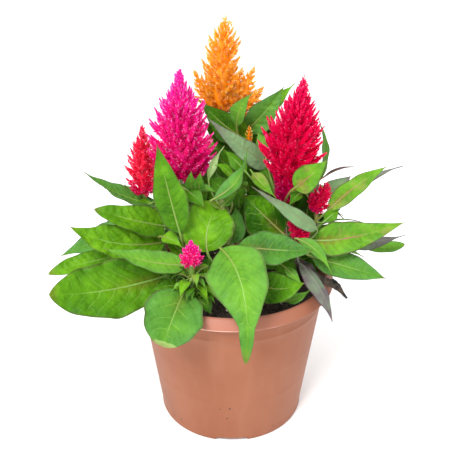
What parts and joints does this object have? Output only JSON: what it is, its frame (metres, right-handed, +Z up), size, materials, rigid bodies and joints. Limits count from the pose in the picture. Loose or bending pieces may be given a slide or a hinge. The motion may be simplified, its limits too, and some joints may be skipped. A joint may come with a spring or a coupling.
{
  "type": "plume celosia",
  "caption": "Potted plume celosia with pointed feathery flower plumes in orange, magenta and crimson above broad green leaves, in a round terracotta-coloured plastic pot",
  "frame": {"origin": "the centre of the pot's underside, on the ground", "axes": "+Z up along the pot's axis, -Y the front of the planting with the broad drooping leaves and the small plume, +X to the right as seen from the front"},
  "size_m": [0.3046, 0.2373, 0.351],
  "materials": {
    "pot": "terracotta-coloured moulded plastic, satin",
    "soil": "dark crumbly potting soil",
    "leaf": "fresh green leaf and stem, slightly glossy",
    "dry_leaf": "dry and crumpled",
    "orange_flower": "bright orange papery florets",
    "magenta_flower": "bright magenta papery florets",
    "coral_flower": "coral red papery florets",
    "crimson_flower": "deep crimson papery florets"
  },
  "bodies": {
    "root": {"pot": "pot", "soil": "soil", "leafy_stem_coral": "leaf", "leafy_stem_magenta": "leaf", "leafy_stem_front": "leaf", "leafy_stem_centre": "leaf", "leafy_stem_orange": "leaf", "leafy_stem_crimson": "leaf", "plume_orange": "orange_flower", "plume_magenta": "magenta_flower", "plume_coral": "coral_flower", "plume_crimson": "crimson_flower", "plume_front": "magenta_flower", "side_plume_orange": "orange_flower", "side_plume_right": "crimson_flower", "side_plume_low": "crimson_flower", "withered_leaf": "dry_leaf"}
  },
  "joints": []
}
